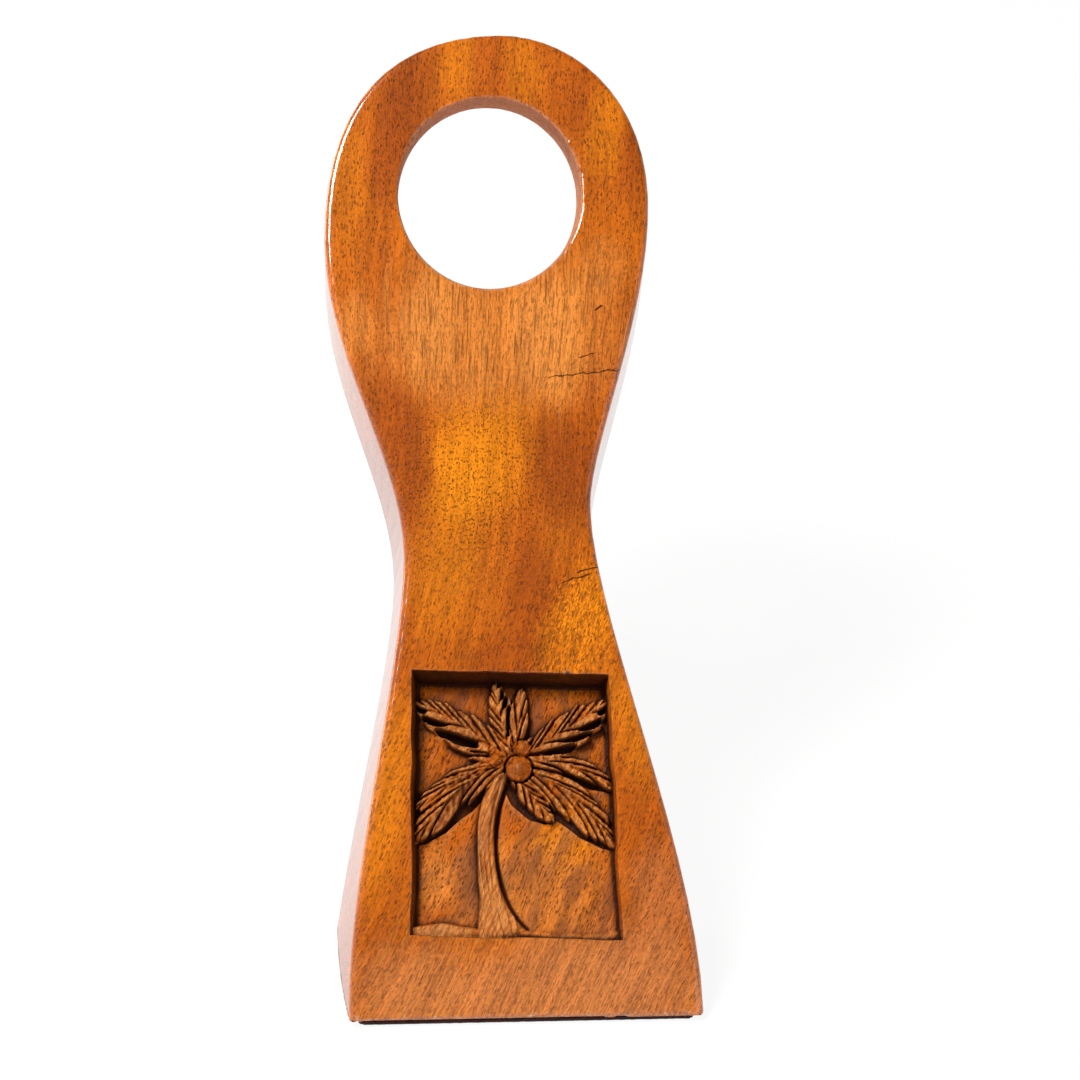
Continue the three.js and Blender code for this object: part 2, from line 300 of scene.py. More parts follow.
class Path:
    """A smooth curve, given by the factors of the powers of its running share."""

    PAST = 0.4  # the curve is carried on past both its ends by this share
    SAMPLES = 200
    GUESSES = 15
    ROUNDS = 4
    LEAST_RATE = 1.0

    def __init__(self, factors):
        self.factors = factors
        self.shares = np.linspace(-self.PAST, 1 + self.PAST, self.SAMPLES)
        steps = np.hypot(*np.diff(self.point(self.shares), axis=1))
        ways = np.concatenate([[0], np.cumsum(steps)])
        self.ways = ways - np.interp(0, self.shares, ways)
        self.length = np.interp(1, self.shares, self.ways)

    def point(self, share, order=0):
        """Place at a share of the curve, or its first or second derivative there."""
        total = 0
        for power in range(order, len(self.factors)):
            factor = self.factors[power].reshape(2, *[1] * np.ndim(share))
            total = total + math.perm(power, order) * factor * share ** (power - order)
        return total

    def follow(self, x, y):
        """Way along the curve to each place's nearest point, and the distance aside, positive on the left."""
        place = np.stack([x, y])
        share = np.zeros(x.shape)
        nearest = np.full(x.shape, np.inf)
        for guess in np.linspace(-self.PAST / 2, 1 + self.PAST / 2, self.GUESSES):
            gap = np.hypot(*(place - self.point(np.full(x.shape, guess))))
            share = np.where(gap < nearest, guess, share)
            nearest = np.minimum(gap, nearest)
        for _ in range(self.ROUNDS):
            offset = self.point(share) - place
            slope = self.point(share, 1)
            rate = (slope ** 2).sum(0) + (offset * self.point(share, 2)).sum(0)
            share = share - (offset * slope).sum(0) / np.maximum(rate, self.LEAST_RATE)
            share = np.clip(share, -self.PAST, 1 + self.PAST)
        offset = place - self.point(share)
        slope = self.point(share, 1)
        aside = (slope[0] * offset[1] - slope[1] * offset[0]) / np.hypot(*slope)
        return np.interp(share, self.shares, self.ways), aside


def curve_through(start, middle, end):
    control = 2 * middle - (start + end) / 2
    return Path([start, 2 * (control - start), start - 2 * control + end])


def cubic_curve(a, b, c, d):
    return Path([a, 3 * (b - a), 3 * (a - 2 * b + c), d - 3 * c + 3 * b - a])


def leaflet_lines(frond, length, along, away):
    """Width of the leaflets up to the line through each place, and where on the rib that line starts."""
    root, tip = np.radians(frond["sweep"])

    def sweep_at(way):
        return lerp(root, tip, np.clip(way / length, 0, 1) ** SWEEP_FALL)

    start = along
    for _ in range(LINE_ROUNDS):
        start = lerp(start, along - away / np.tan(sweep_at(start)), LINE_STEP)
    ways = np.linspace(-length, length, LINE_SAMPLES)
    widths = np.cumsum(np.sin(sweep_at(ways))) * (ways[1] - ways[0])
    return np.interp(start, ways, widths), start


def carve_frond(frond, x, y, seed):
    """Height of a frond's leaflets above the floor, and of the cuts between and around them below it."""
    path = curve_through(*(mouth_point(*frond[key]) for key in ("root", "middle", "tip")))
    along, aside = path.follow(x, y)
    away = np.abs(aside)
    side = np.where(aside > 0, 0, 1)
    pairs = (frond.get(key, NEITHER_SIDE) for key in ("reach", "pitch", "gaps", "trench"))
    reach, pitch, gaps, trench = (np.array(pair)[side] for pair in pairs)
    widths, start = leaflet_lines(frond, path.length, along, away)
    rank = widths / pitch + side / 2
    rank = rank + PITCH_JITTER * lattice_noise(rank, SIDE_SHIFT * side, JITTER_CELL, seed + JITTER_SEED)
    number = np.floor(rank).astype(int)
    luck = np.random.default_rng(seed).uniform(0, 1, (2, MAX_LEAFLETS))[side, number % MAX_LEAFLETS]
    edge = 2 * np.abs(rank - number - 0.5)

    way = np.clip(along / path.length, 0, 1)
    outline = reach * np.interp(way, *zip(*FULLNESS))
    half = outline * lerp(*LEAFLET_SPREAD, luck) * (1 - TRENCH_SHARE * trench * luck)
    share = np.clip(away / np.maximum(half * (1 - LEAFLET_POINT * edge ** 2), LEAST_REACH), 0, 1)
    outer = smooth(0, CUT_REACH, share)
    root_height = lerp(DEPTH_FOOT, DEPTH_TOP, frond["root"][1]) - FROND_CLEARANCE
    rib = lerp(root_height, FROND_TIP_HEIGHT, way)
    crest = rib * (1 - FROND_DROOP * share) * lerp(*LEAFLET_LEVEL, luck) * smooth(*LEAFLET_END, share)
    tilt = LEAFLET_TILT * (rank - number - 0.5) * outer
    groove = edge ** CUT_SHARPNESS * lerp(RIB_CUT, lerp(*CUT_DEPTHS, luck), outer)
    lens = np.sin(np.pi * np.clip((share - GAP_START) / (GAP_END - GAP_START), 0, 1))
    opening = gaps * smooth(0, GAP_EDGE, edge - 1 + GAP_WIDTH * lens) * (start > 0)
    blade = (crest + tilt) * (1 - groove) * (1 - opening)
    spine = SPINE_LEVEL * rib * smooth(*SPINE_EDGE, away)
    stab = -STAB_CUT * opening
    trench_end = outline * TRENCH_REACH
    ditch = -TRENCH_DEPTH * trench * smooth(trench_end, trench_end - TRENCH_EDGE, away)
    grown = (along > 0) & (along < path.length)
    leaf = grown & (share < 1)
    return np.where(leaf, np.maximum(blade, spine), 0), np.where(leaf, stab, np.where(grown, ditch, 0))


def carve_leaves(x, y):
    """Height of the fronds and of the crown that joins them, and of the cuts between and around them."""
    leaves = np.zeros(x.shape)
    cuts = np.zeros(x.shape)
    for number, frond in enumerate(FRONDS):
        blade, stab = carve_frond(frond, x, y, FROND_SEED + number)
        leaves = np.maximum(leaves, blade)
        cuts = np.minimum(cuts, stab)
    crown = mouth_point(*CROWN)
    away = np.hypot(x - crown[0], y - crown[1])
    leaves = np.maximum(leaves, CROWN_HEIGHT * smooth(CROWN_RADIUS, 0, away))
    rough = ROUGH_CUTS * lattice_noise(x, y, ROUGH_CELL, ROUGH_SEED) * smooth(*ROUGH_RISE, leaves)
    return leaves + rough, cuts


def carve_trunk(x, y):
    """Height of the trunk, and of the cut along its right side."""
    path = cubic_curve(*(mouth_point(*place) for place in TRUNK))
    along, aside = path.follow(x, y)
    half = (TRUNK_WIDTH + TRUNK_FLARE * np.clip(along / path.length, 0, 1) ** FLARE_POWER) / 2
    rise = TRUNK_HEIGHT * np.sqrt(np.clip(1 - (aside / half) ** 2, 0, None))
    bark = BARK_RELIEF * lattice_noise(aside, along, BARK_CELL, BARK_SEED) * (rise > 0)
    within = smooth(*TRUNK_START, along) * smooth(path.length + TRUNK_RUN_OUT, path.length, along)
    beside = smooth(*TRUNK_CUT_NEAR, aside - half) * smooth(*TRUNK_CUT_FAR, aside - half)
    return np.clip(rise + bark, 0, None) * within, -TRUNK_CUT * beside * within


def carve_nuts(x, y, depth):
    """Height of the faceted coconuts, and depth of the cut round each."""
    rise = np.zeros(x.shape)
    ring = np.zeros(x.shape)
    for place, radius, clearance, cut in NUTS:
        centre = mouth_point(*place)
        right = x - centre[0]
        above = y - centre[1]
        away = np.hypot(right, above)
        dome = np.sqrt(np.clip(radius ** 2 - away ** 2, 0, None))
        for turn in np.arange(NUT_FACETS) * 2 * math.pi / NUT_FACETS + radius:
            outward = right * math.cos(turn) + above * math.sin(turn)
            facet = (radius - FACET_DEPTH) / math.cos(FACET_TILT) - math.tan(FACET_TILT) * outward
            dome = np.minimum(dome, facet)
        rise = np.maximum(rise, np.where(away < radius, dome + depth - clearance - radius, 0))
        around = smooth(radius + NUT_CUT_WIDTH, radius, away) * (away >= radius)
        ring = np.maximum(ring, cut * around)
    return rise, ring


def carve_ground(x, y, across):
    """A low mound at the left, thinning out to a line across the foot of the panel."""
    line = np.interp(across, *zip(*GROUND_LINE))
    line = line + GROUND_WOBBLE * line_noise(x, GROUND_WOBBLE_LENGTH, GROUND_WOBBLE_SEED)
    top = PANEL_FOOT + PANEL_SLANT * (1 - 2 * across) + line
    height = lerp(MOUND_HEIGHT, GROUND_HEIGHT, smooth(*MOUND_END, across))
    height = height + GROUND_RELIEF * lattice_noise(x, y, GROUND_CELL, GROUND_SEED)
    return height * smooth(0, GROUND_EDGE, top - y)


def cut_walls(x, y, across, up, depth):
    """Height of the panel's walls, which run on upwards outside its mouth, and how far each is darkened with
    painted shade.
    """
    width = PANEL_RIGHT - PANEL_LEFT
    height = PANEL_TOP - PANEL_FOOT
    inward = {
        "left": across * width,
        "right": (1 - across) * width,
        "foot": up * height,
        "top": (1 - up) * height,
    }
    wall = np.full(x.shape, -np.inf)
    painted_shade_and_stain = np.zeros(x.shape)
    for number, (side, distance) in enumerate(inward.items()):
        run = y if side in ("left", "right") else x
        wobble = WALL_WOBBLE * line_noise(run, WOBBLE_LENGTH, WALL_SEED + number)
        slope = -(distance + wobble) * depth / WALL_INSETS[side]
        painted_shade_and_stain = np.where(slope > wall, WALL_SHADES[side], painted_shade_and_stain)
        wall = np.maximum(wall, slope)
    return wall, painted_shade_and_stain


def panel_relief(x, y):
    """Height of the carved panel, below the face, over a grid of points, how far it is darkened by stain and
    painted shade, how far it is rubbed lighter with painted highlight, and how keenly its crests take
    rubbing."""
    across, up = panel_shares(x, y)
    depth = lerp(DEPTH_FOOT, DEPTH_TOP, np.clip(up, 0, 1))
    slanted = x - CHISEL_SLANT * y
    floor = -depth + CHISEL_RELIEF * lattice_noise(slanted, y, CHISEL_CELL, CHISEL_SEED)

    trunk, trunk_cut = carve_trunk(x, y)
    leaves, leaf_cuts = carve_leaves(x, y)
    cuts = np.minimum(trunk_cut, leaf_cuts)
    nuts, ring = carve_nuts(x, y, depth)
    leaves = np.maximum(leaves - ring, nuts)
    raised = np.maximum(leaves, np.maximum(trunk, carve_ground(x, y, across)))
    standing = raised > LEAST_RAISED
    carved = floor + np.where(standing, raised, cuts)
    carved = carved + TOOL_MARKS * lattice_noise(slanted, y, TOOL_CELL, TOOL_SEED)

    wall, wall_shade = cut_walls(x, y, across, up, depth)
    nick = NICK_DEPTH * smooth(NICK_SIZE, 0, np.hypot(x - NICK[0], y - NICK[1]))
    height = np.minimum(np.maximum(carved, wall), 0) - np.where(wall > NICK_LEVEL, nick, 0)

    inside = carved > wall
    bare = smooth(*BARE_FLOOR, leaves) * smooth(*FLOOR_DARKENING_SHARES, up)
    stains_and_shades = [
        wall_shade * (wall > carved) * smooth(*WALL_SHADE_DEPTHS, height),
        LEAF_STAIN * smooth(*LEAF_STAIN_RISE, leaves) * inside,
        FLOOR_STAIN_AND_SHADE * bare * inside,
        CUT_SHADOW * smooth(*CUT_SHADOW_DEPTHS, -cuts) * ~standing * inside,
    ]
    rubbed_and_highlit = TRUNK_RUB_AND_HIGHLIGHT * smooth(*TRUNK_LIGHTENING_RISE, raised) * (raised > leaves) * inside
    keen = np.where(nuts > 0, NUT_RUB, 1.0) * inside
    return height, np.max(stains_and_shades, axis=0), rubbed_and_highlit, keen


def blurred(field, reach):
    """Average of a grid over a bell curve of the given reach in grid steps."""
    far = BLUR_WIDTH * reach
    taps = np.arange(-far, far + 1)
    weights = np.exp(-(taps / reach) ** 2 / 2)
    weights /= weights.sum()
    for axis in (0, 1):
        pads = [(0, 0), (0, 0)]
        pads[axis] = (far, far)
        padded = np.pad(field, pads, mode="edge")
        count = field.shape[axis]
        field = sum(
            weight * np.take(padded, np.arange(count) + shift, axis)
            for shift, weight in enumerate(weights))
    return field


class Panel:
    """The panel's relief on a grid, with hollows and steep slopes darkened by stain and painted shade, and
    crests rubbed lighter with painted highlight.
    """

    def __init__(self):
        self.left = PANEL_LEFT - GRID_MARGIN
        self.foot = PANEL_FOOT - GRID_MARGIN
        self.right = PANEL_RIGHT + GRID_MARGIN
        self.top = PANEL_TOP + GRID_MARGIN
        columns = np.arange(self.left, self.right + GRID_STEP, GRID_STEP)
        rows = np.arange(self.foot, self.top + GRID_STEP, GRID_STEP)
        x, y = np.meshgrid(columns, rows, indexing="ij")
        self.height, painted_shade_and_stain, rubbed_and_highlit, keen = panel_relief(x, y)
        around = blurred(self.height, HOLLOW_REACH)
        hollow = HOLLOW_STAIN_AND_SHADE * np.clip((around - self.height) / HOLLOW_DEPTH, 0, 1)
        slope = np.hypot(*np.gradient(self.height, GRID_STEP))
        steep = STEEP_SHADE * smooth(*STEEP_SLOPES, slope) * (keen > 0)
        self.painted_shade_and_stain = 1 - (1 - painted_shade_and_stain) * (1 - hollow) * (1 - steep)
        crest = np.clip((self.height - around) / CREST_HEIGHT, 0, 1) * keen
        self.crest = np.maximum(crest, rubbed_and_highlit) * (1 - steep)
        self.sunk = smooth(*SUNK_DEPTHS, -self.height)

    def holds(self, x, y):
        return (x > self.left) & (x < self.right) & (y > self.foot) & (y < self.top)

    def sample(self, field, x, y):
        """Values of a grid between its points."""
        across = (x - self.left) / GRID_STEP
        up = (y - self.foot) / GRID_STEP
        column = np.clip(np.floor(across).astype(int), 0, field.shape[0] - 2)
        row = np.clip(np.floor(up).astype(int), 0, field.shape[1] - 2)
        across = across - column
        up = up - row
        lower = lerp(field[column, row], field[column + 1, row], across)
        upper = lerp(field[column, row + 1], field[column + 1, row + 1], across)
        return lerp(lower, upper, up)


def remeshed(mesh, voxel):
    """Copy of a mesh as an even skin of small squares."""
    holder = bpy.data.objects.new("blank", mesh)
    bpy.context.scene.collection.objects.link(holder)
    remesh = holder.modifiers.new("even_skin", "REMESH")
    remesh.mode = "VOXEL"
    remesh.voxel_size = voxel
    depsgraph = bpy.context.evaluated_depsgraph_get()
    result = bpy.data.meshes.new_from_object(holder.evaluated_get(depsgraph))
    bpy.data.objects.remove(holder)
    return result


def vertex_places(mesh):
    """Places of a mesh's vertices, one row each."""
    places = np.empty(len(mesh.vertices) * 3)
    mesh.vertices.foreach_get("co", places)
    return places.reshape(-1, 3)


def plank_to_world():
    pad_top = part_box("foot_pad")[1][2]
    toe = Vector((0, -THICKNESS * MM / math.cos(LEAN) / 2, pad_top + GLUE_LINE * MM))
    return Matrix.Translation(toe) @ Matrix.Rotation(math.pi / 2 - LEAN, 4, "X") @ Matrix.Scale(MM, 4)


def filled_blank():
    """The plank's solid in its own frame, with the panel filled up to the face."""
    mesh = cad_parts["carved_plank"].data.copy()
    mesh.transform(plank_to_world().inverted())
    skin = bmesh.new()
    skin.from_mesh(mesh)
    low = Vector((PANEL_LEFT - FILL_PAST, PANEL_FOOT - FILL_PAST, -DEPTH_TOP - FILL_BELOW))
    high = Vector((PANEL_RIGHT + FILL_PAST, PANEL_TOP + FILL_PAST, 0))
    size = high - low
    place = Matrix.Translation((low + high) / 2) @ Matrix.Diagonal((*size, 1))
    bmesh.ops.create_cube(skin, size=1, matrix=place)
    skin.to_mesh(mesh)
    skin.free()
    return mesh


def refine_panel(skin, panel):
    """Cuts the skin finer where the panel is carved."""
    def on_panel(vert):
        return abs(vert.co.z) < VOXEL / 2 and panel.holds(vert.co.x, vert.co.y)

    faces = [face for face in skin.faces if all(on_panel(vert) for vert in face.verts)]
    edges = list({edge for face in faces for edge in face.edges})
    bmesh.ops.subdivide_edges(skin, edges=edges, cuts=PANEL_CUTS, use_grid_fill=True)


def true_foot(places, blank):
    """Straightens the edges of the foot, which an even skin cuts off in small steps."""
    upward = np.array([0, math.cos(LEAN), math.sin(LEAN)])
    above_foot = places @ upward
    low = above_foot < FOOT_TRUING
    places[low] -= above_foot[low, None] * upward
    solid = bmesh.new()
    solid.from_mesh(blank)
    tree = BVHTree.FromBMesh(solid)
    solid.free()
    for index in np.flatnonzero(low):
        start = Vector(places[index] + RAY_LIFT * upward)
        for outward in (Vector((1, 0, 0)), Vector((-1, 0, 0))):
            hit = tree.ray_cast(start, outward, SIDE_TRUING)[0]
            if hit:
                places[index, 0] = hit.x


def carved_plank():
    """The plank with its carved panel. Its points keep how far they are darkened by stain and painted shade,
    rubbed lighter with painted highlight, and sunk.
    """
    panel = Panel()
    blank = filled_blank()
    mesh = remeshed(blank, VOXEL)
    skin = bmesh.new()
    skin.from_mesh(mesh)
    bmesh.ops.smooth_vert(
        skin, verts=skin.verts, factor=SKIN_SMOOTHING, use_axis_x=True, use_axis_y=True, use_axis_z=True)
    refine_panel(skin, panel)
    skin.to_mesh(mesh)
    skin.free()

    places = vertex_places(mesh)
    true_foot(places, blank)
    carved = (np.abs(places[:, 2]) < VOXEL / 2) & panel.holds(places[:, 0], places[:, 1])
    x, y = places[carved, 0], places[carved, 1]
    places[carved, 2] = np.minimum(places[carved, 2], panel.sample(panel.height, x, y))
    mesh.vertices.foreach_set("co", places.ravel())
    for name, field in (("painted_shade_and_stain", panel.painted_shade_and_stain), ("crest", panel.crest), ("sunk", panel.sunk)):
        values = np.zeros(len(places), dtype=np.float32)
        values[carved] = panel.sample(field, x, y)
        mesh.attributes.new(name, "FLOAT", "POINT").data.foreach_set("value", values)
    mesh.transform(plank_to_world())
    mesh.shade_smooth()
    return mesh


def felt_pad():
    """The pad with a soft cut edge and a fibrous skin."""
    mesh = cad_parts["foot_pad"].data.copy()
    mesh.transform(Matrix.Scale(1 / MM, 4))
    mesh = remeshed(mesh, FELT_VOXEL)
    places = vertex_places(mesh)
    low, high = places.min(axis=0), places.max(axis=0)
    middle = (low + high) / 2
    fuzz = lattice_noise(places[:, 0], places[:, 1] + FUZZ_CLIMB * places[:, 2], FUZZ_CELL, FUZZ_SEED)
    inward = 1 - FUZZ_SHARE * (1 + fuzz)
    places[:, :2] = middle[:2] + (places[:, :2] - middle[:2]) * inward[:, None]
    places[:, 2] = np.clip(places[:, 2], low[2], high[2])
    mesh.vertices.foreach_set("co", places.ravel())
    mesh.transform(Matrix.Scale(MM, 4))
    mesh.shade_smooth()
    return mesh


class Value:
    """A number that varies over a surface, so that sums of shader nodes read like plain ones."""

    def __init__(self, tree, socket):
        self.tree = tree
        self.socket = socket

    def math(self, operation, *others):
        node = self.tree.nodes.new("ShaderNodeMath")
        node.operation = operation
        for socket, value in zip(node.inputs, (self, *others)):
            plug(value, socket)
        return Value(self.tree, node.outputs[0])

    def __add__(self, other):
        return self.math("ADD", other)

    def __sub__(self, other):
        return self.math("SUBTRACT", other)

    def __mul__(self, other):
        return self.math("MULTIPLY", other)

    def complement(self, share=1.0):
        """1 less a share of this value."""
        return self * -share + 1.0

    def ramp(self, low, high, start=0.0, end=1.0):
        """A smooth rise from start at low to end at high."""
        node = self.tree.nodes.new("ShaderNodeMapRange")
        node.interpolation_type = "SMOOTHSTEP"
        for socket, value in zip(node.inputs, (self, low, high, start, end)):
            plug(value, socket)
        return Value(self.tree, node.outputs[0])


def plug(value, socket):
    """Sets a socket to a constant, or links a varying value to it."""
    if isinstance(value, Value):
        value.tree.links.new(value.socket, socket)
    else:
        socket.default_value = value


class Finish:
    """One procedural material, with short calls for the nodes that it uses."""

    LEAST_DASH = 0.4  # of the radius that the call gives
    DASH_EDGE = 0.5

    def __init__(self, name):
        self.material = bpy.data.materials.new(name)
        self.material.use_nodes = True
        self.tree = self.material.node_tree
        self.surface = self.tree.nodes["Principled BSDF"]

    def add(self, kind, inputs, output=0, **settings):
        node = self.tree.nodes.new(kind)
        for name, setting in settings.items():
            setattr(node, name, setting)
        for name, value in inputs.items():
            plug(value, node.inputs[name])
        return Value(self.tree, node.outputs[output])

    def set(self, **inputs):
        for name, value in inputs.items():
            plug(value, self.surface.inputs[name.replace("_", " ")])

    def object_place(self):
        return self.add("ShaderNodeTexCoord", {}, output="Object")

    def parts(self, place):
        return [self.add("ShaderNodeSeparateXYZ", {"Vector": place}, output=axis) for axis in "XYZ"]

    def joined(self, x, y, z):
        return self.add("ShaderNodeCombineXYZ", {"X": x, "Y": y, "Z": z})

    def scaled(self, place, size, seed):
        """A place measured in steps of the given size along each axis."""
        steps = tuple(1 / step for step in size)
        inputs = {0: place, 1: steps, 2: (seed, seed, seed)}
        return self.add("ShaderNodeVectorMath", inputs, operation="MULTIPLY_ADD")

    def noise(self, place, size, detail=2.0, seed=0.0, distortion=0.0, levels=None):
        """Noise between 0 and 1, or a ramp of it between the given levels."""
        inputs = {
            "Vector": self.scaled(place, size, seed),
            "Scale": 1.0,
            "Detail": detail,
            "Distortion": distortion,
        }
        texture = self.add("ShaderNodeTexNoise", inputs)
        return texture.ramp(*levels) if levels else texture

    def waver(self, place, **texture):
        """Noise that swings evenly about 0."""
        return self.noise(place, **texture) - 0.5

    def dashes(self, place, size, radius, seed):
        """Scattered dashes of unlike sizes, drawn out as the cells that hold them are."""
        cells = self.tree.nodes.new("ShaderNodeTexVoronoi")
        plug(self.scaled(place, size, seed), cells.inputs["Vector"])
        cells.inputs["Scale"].default_value = 1.0
        luck = self.add("ShaderNodeSeparateColor", {"Color": Value(self.tree, cells.outputs["Color"])})
        reach = luck * radius + radius * self.LEAST_DASH
        return (reach - Value(self.tree, cells.outputs["Distance"])).ramp(0.0, radius * self.DASH_EDGE)

    def mix(self, share, first, second, blend="MIX"):
        inputs = {0: share, 6: first, 7: second}
        return self.add("ShaderNodeMix", inputs, output=2, data_type="RGBA", blend_type=blend)

    def attribute(self, name):
        return self.add("ShaderNodeAttribute", {}, output="Fac", attribute_name=name)

    def bump(self, height, distance):
        return self.add("ShaderNodeBump", {"Height": height, "Distance": distance})


def linear(red, green, blue):
    """Shader colour from screen values of 0 to 255."""
    screen = Color((red / 255, green / 255, blue / 255))
    return (*screen.from_srgb_to_scene_linear(), 1.0)


# Wood colours
ORANGE = linear(208, 106, 12)
RED_BROWN = linear(174, 78, 9)
GOLD = linear(246, 143, 10)
PALE_AND_SHEEN = linear(242, 150, 64)
FOOT_SHEEN = linear(220, 136, 76)
DARK = linear(150, 64, 7)
PORE = linear(78, 30, 8)
STAIN_AND_SHADE = linear(44, 17, 7)
RUBBED_AND_HIGHLIT = linear(232, 156, 86)
DULL = linear(132, 76, 42)
WORN = linear(236, 196, 156)
BORE_DUST_AND_LIGHT = linear(204, 152, 120)

# Soft patches of the wood's figure, and of painted sheen: middle, reach across and along, turn in degrees,
# colour, strength.
# The pale patches about 187 to 205 up the face and the paler patches at the foot paint a broad sheen
PATCHES = [
    ((-4, 187), (38, 24), 0, PALE_AND_SHEEN, 0.5),
    ((-22, 193), (9, 21), 0, PALE_AND_SHEEN, 0.55),
    ((-43, 190), (7, 10), 0, PALE_AND_SHEEN, 0.4),
    ((10, 187), (12, 21), 0, PALE_AND_SHEEN, 0.6),
    ((25, 205), (8, 12), 0, PALE_AND_SHEEN, 0.3),
    ((0, 36), (26, 15), 0, PALE_AND_SHEEN, 0.4),
    ((-9, 152), (15, 23), -25, GOLD, 0.55),
    ((-13, 148), (10, 16), -28, GOLD, 0.65),
    ((-19, 126), (11, 28), -8, GOLD, 0.4),
    ((18, 107), (12, 20), -25, GOLD, 0.6),
    ((-36, 62), (7, 30), -6, GOLD, 0.45),
    ((30, 76), (6, 22), 14, GOLD, 0.4),
    ((-13, 268), (5, 12), 0, GOLD, 0.3),
    ((4, 264), (6, 12), 0, GOLD, 0.3),
    ((27, 246), (6, 16), 0, GOLD, 0.4),
    ((-44, 236), (6, 24), 4, GOLD, 0.25),
    ((-28, 250), (10, 28), -14, DARK, 0.7),
    ((35, 236), (5, 20), 0, DARK, 0.5),
    ((14, 252), (9, 12), 0, DARK, 0.25),
    ((14, 150), (11, 20), 6, DARK, 0.75),
    ((4, 114), (9, 20), 8, DARK, 0.35),
    ((-30, 150), (9, 28), 6, DARK, 0.5),
    ((-4, 99), (26, 6), 0, DARK, 0.3),
    ((32, 52), (8, 28), 12, RED_BROWN, 0.55),
    ((-25, 6), (26, 17), 0, FOOT_SHEEN, 0.6),
    ((18, 8), (34, 20), 0, FOOT_SHEEN, 0.7),
    ((36, 32), (9, 18), 0, FOOT_SHEEN, 0.4),
    ((-14, 37), (5, 15), 0, DULL, 0.6),
    ((3, 41), (6, 14), 0, DULL, 0.4),
    ((12, 49), (12, 8), 0, GOLD, 0.5),
    ((-22, 40), (4, 12), 0, PALE_AND_SHEEN, 0.4),
]
PATCH_EDGE = 1.3
PATCH_WANDER = 10.0
PATCH_FRAY = 10.0

# Where the grain dives into the face it shows as dots, and in the upper face and on the foot as long lines. A
# curly ripple lies low on the right of the waist. Each area has its middle, reach across and along, and turn
DOT_AREA = ((-10, 144), (30, 32), 0)
UPPER_LINE_AREA = ((0, 192), (46, 30), 0)
FOOT_LINE_AREA = ((0, 8), (70, 26), 0)
FOOT_LINE_SHARE = 0.6
RIPPLE_AREA = ((17, 108), (16, 24), -20)

# Grain of the wood: it leans right near the foot and stands upright towards the head
FOOT_GRAIN_LEAN = 0.45
HEAD_GRAIN_LEAN = 0.06
GRAIN_TURN_HEIGHT = 110.0
GRAIN_TURN_REACH = 70.0
GRAIN_WANDER = 9.0

# Textures of the wood: size across, along and into the plank, and the levels of a ramp over them
GRAIN_NOISE = dict(size=(45, 80, 45), seed=3.1)
GROUND_NOISE = dict(size=(17, 50, 17), seed=8.4, levels=(0.35, 0.65, 0.4, 1.0))
SHIFT_ACROSS = dict(size=(16, 22, 16), detail=3.0, seed=1.7)
SHIFT_ALONG = dict(size=(16, 22, 16), detail=3.0, seed=5.2)
FRAY = dict(size=(2.2, 16, 2.2), detail=3.0, seed=7.7)
SWEEPS = dict(size=(4, 36, 4), seed=52.0)
STREAKS = dict(size=(1.1, 30, 1.1), detail=3.0, seed=2.2)
FIBRES = dict(size=(0.4, 4, 0.4), seed=6.6)
SPECKS = dict(size=(0.6, 0.85, 0.6), seed=3.9)
RIPPLE = dict(size=(0.8, 2.0, 1.0), seed=9.3, distortion=1.2, levels=(0.4, 0.6))
PALE_LINES = dict(size=(0.9, 22, 0.9), seed=15.5, levels=(0.5, 0.66))
FAINT_DOTS = dict(size=(0.6, 0.9, 0.6), detail=1.0, seed=31.0, levels=(0.57, 0.7))
FAINT_DASHES = dict(size=(0.5, 2.2, 0.6), detail=1.0, seed=37.0, levels=(0.57, 0.7))
FAINT_LINES = dict(size=(0.55, 9.0, 0.6), detail=1.0, seed=41.0, levels=(0.55, 0.68))
WEAR = dict(size=(2.5, 1.5, 2.5), seed=19.0, levels=(0.58, 0.68))
CRACK_WARP = dict(size=(2.5, 2.5, 2.5), seed=14.0)
MOTTLE = dict(size=(5, 14, 5), detail=4.0, seed=27.0, levels=(0.45, 0.62))
RUBBING = dict(size=(0.6, 3.0, 0.6), seed=29.0, levels=(0.35, 0.65, 0.35, 1.0))
BARK = dict(size=(1.0, 8.0, 1.0), seed=43.0, levels=(0.48, 0.6))
SCUFFS = dict(size=(1.2, 1.2, 5.0), detail=3.0, seed=17.0, levels=(0.35, 0.65))

# Larger pores: size of their cells, and their radius in shares of a cell
DOTS = dict(size=(0.7, 0.9, 0.7), radius=0.28, seed=4.0)
DASHES = dict(size=(0.75, 1.8, 0.9), radius=0.27, seed=12.0)
LONG_PORES = dict(size=(0.9, 6.5, 0.6), radius=0.26, seed=51.0)
LINES = dict(size=(0.8, 14.0, 1.0), radius=0.25, seed=23.0)

# How much each texture lightens or darkens the wood
SWEEP_TONE = 0.8
STREAK_TONE = 0.6
FIBRE_TONE = 0.7
SPECK_TONE = 0.9
TONE_DROP = 0.51
RIPPLE_TONE = 0.6
PALE_LINE_SHARE = 0.5

# How dark the pores are, how many stay outside their own areas, and how the sides and the toe differ
FAINT_SHARE = 0.75
STRAY_DOTS = 0.25
DASH_LOSS = 0.75
SIDE_DASH_LOSS = 0.7
PORE_SHARE = 0.56
SUNK_PORE_SHARE = 0.3
DOT_PORE_SHARE = 0.3
SIDE_DEPTHS = (-1.5, -4.0)
SIDE_SHADE = 0.35
WORN_TOE = (3.0, 0.5)
WEAR_SHARE = 0.6

